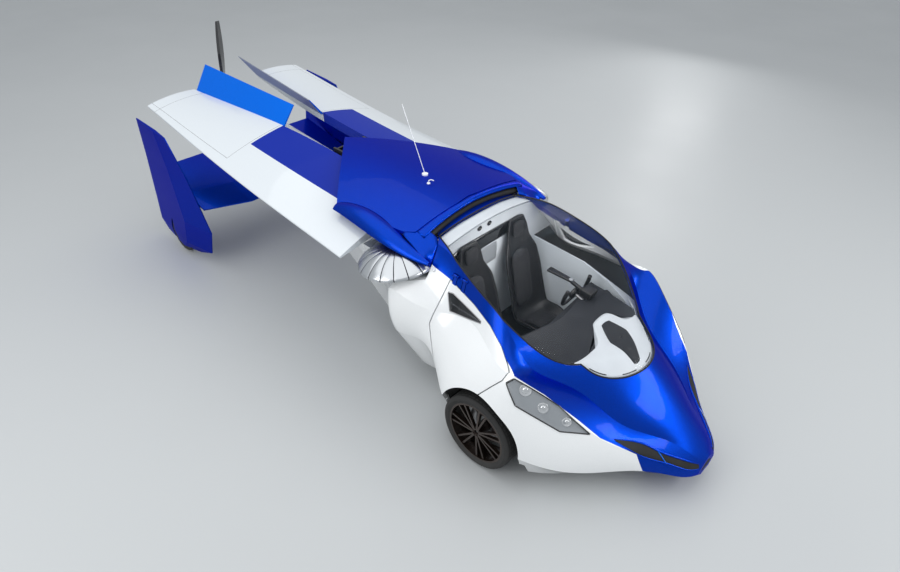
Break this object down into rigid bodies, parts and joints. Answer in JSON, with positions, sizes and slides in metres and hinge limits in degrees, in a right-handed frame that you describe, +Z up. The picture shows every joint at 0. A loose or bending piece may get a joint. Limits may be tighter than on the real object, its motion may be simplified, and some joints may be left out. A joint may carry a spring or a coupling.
{
  "type": "folding-wing flying car",
  "caption": "Two-seat flying car parked on its wheels with its wings folded back over the tail boom, between two tail fins, with a pusher propeller.",
  "frame": {"origin": "on the ground at the centre of the bounding box, on the middle plane between the wheels", "axes": "+Y towards the tail, +X towards the vehicle's left side, +Z up; the nose points to -Y"},
  "size_m": [2.154, 6.02, 2.1099],
  "materials": {
    "blue_paint": "metallic deep blue, clear coated",
    "bright_blue_paint": "bright blue, clear coated",
    "white_paint": "pearl white, clear coated",
    "glass": "clear",
    "lamp_glass": "clear lens over silver",
    "dark_glass": "dark tint",
    "aluminium": "polished",
    "black_plastic": "matt black",
    "carbon": "satin black",
    "tyre_rubber": "matt",
    "wheel_finish": "dark bronze",
    "steel": "machined",
    "cast": "rough",
    "seat_leather": "black leather and fabric"
  },
  "bodies": {
    "body": {"antenna": "white_paint", "body_tub": "white_paint", "bulkhead": "white_paint", "dashboard": "black_plastic", "engine_block": "cast", "fender_left": "white_paint", "fender_right": "white_paint", "fin_left": "blue_paint", "fin_right": "blue_paint", "floor_pan": "white_paint", "headlight_left": "lamp_glass", "headlight_right": "lamp_glass", "quarter_panel_left": "white_paint", "quarter_panel_right": "white_paint", "rear_body": "white_paint", "rear_deck": "blue_paint", "seat_left": "seat_leather", "seat_right": "seat_leather", "spine": "black_plastic", "steering_column": "steel", "suspension_arm_left": "steel", "suspension_arm_right": "steel", "tailplane": "blue_paint", "upper_shell": "blue_paint", "windscreen": "glass"},
    "left_door": {"door_left": "white_paint", "door_window_left": "dark_glass"},
    "left_wing": {"wing_left": "white_paint", "wing_root_fan_left": "aluminium"},
    "left_flap": {"flap_left": "bright_blue_paint"},
    "left_knuckle": {"knuckle_left": "steel"},
    "left_front_wheel": {"tyre_front_left": "tyre_rubber", "wheel_front_left": "wheel_finish"},
    "left_rear_wheel": {"tyre_rear_left": "tyre_rubber", "wheel_rear_left": "wheel_finish"},
    "right_door": {"door_right": "white_paint", "door_window_right": "dark_glass"},
    "right_wing": {"wing_right": "white_paint", "wing_root_fan_right": "aluminium"},
    "right_flap": {"flap_right": "bright_blue_paint"},
    "right_knuckle": {"knuckle_right": "steel"},
    "right_front_wheel": {"tyre_front_right": "tyre_rubber", "wheel_front_right": "wheel_finish"},
    "right_rear_wheel": {"tyre_rear_right": "tyre_rubber", "wheel_rear_right": "wheel_finish"},
    "propeller": {"propeller": "carbon"},
    "yoke": {"yoke": "black_plastic"}
  },
  "joints": [
    {"name": "left_door_lift", "type": "hinge", "parent": "body", "child": "left_door", "pos_m": [0.642, -1.155, 1.244], "axis": [0, -1, 0], "range_deg": [0, 70]},
    {"name": "left_wing_spread", "type": "hinge", "parent": "body", "child": "left_wing", "pos_m": [0.686, -0.56, 1.15], "axis": [-0.0862, -0.1507, -0.9848], "range_deg": [0, 90]},
    {"name": "left_flap_lower", "type": "hinge", "parent": "left_wing", "child": "left_flap", "pos_m": [0.2247, 1.52, 1.473], "axis": [-0.1069, -0.994, -0.0241], "range_deg": [0, 40]},
    {"name": "right_door_lift", "type": "hinge", "parent": "body", "child": "right_door", "pos_m": [-0.642, -1.155, 1.244], "axis": [0, 1, 0], "range_deg": [0, 70]},
    {"name": "right_wing_spread", "type": "hinge", "parent": "body", "child": "right_wing", "pos_m": [-0.686, -0.56, 1.15], "axis": [-0.0862, 0.1507, 0.9848], "range_deg": [0, 90]},
    {"name": "right_flap_lower", "type": "hinge", "parent": "right_wing", "child": "right_flap", "pos_m": [-0.2247, 1.52, 1.473], "axis": [-0.1069, 0.994, 0.0241], "range_deg": [0, 40]},
    {"name": "left_steer", "type": "hinge", "parent": "body", "child": "left_knuckle", "pos_m": [0.812, -1.68, 0.31], "axis": [0, 0, 1], "range_deg": [-30, 30]},
    {"name": "left_front_wheel_spin", "type": "hinge", "parent": "left_knuckle", "child": "left_front_wheel", "pos_m": [0.927, -1.68, 0.31], "axis": [1, 0, 0], "continuous": true},
    {"name": "left_rear_wheel_spin", "type": "hinge", "parent": "body", "child": "left_rear_wheel", "pos_m": [1.003, 2.5, 0.19], "axis": [1, 0, 0], "continuous": true},
    {"name": "right_steer", "type": "hinge", "parent": "body", "child": "right_knuckle", "pos_m": [-0.812, -1.68, 0.31], "axis": [0, 0, 1], "range_deg": [-30, 30]},
    {"name": "right_front_wheel_spin", "type": "hinge", "parent": "right_knuckle", "child": "right_front_wheel", "pos_m": [-0.927, -1.68, 0.31], "axis": [1, 0, 0], "continuous": true},
    {"name": "right_rear_wheel_spin", "type": "hinge", "parent": "body", "child": "right_rear_wheel", "pos_m": [-1.003, 2.5, 0.19], "axis": [1, 0, 0], "continuous": true},
    {"name": "yoke_turn", "type": "hinge", "parent": "body", "child": "yoke", "pos_m": [0.3, -1.56, 0.822], "axis": [0, 0.9635, 0.2676], "range_deg": [-92, 92]},
    {"name": "propeller_spin", "type": "hinge", "parent": "body", "child": "propeller", "pos_m": [0, 2.958, 1.27], "axis": [0, 1, 0], "continuous": true}
  ],
  "couplings": [
    {"joint": "right_steer", "follows": "left_steer", "ratio": 1},
    {"joint": "yoke_turn", "follows": "left_steer", "ratio": 3}
  ]
}
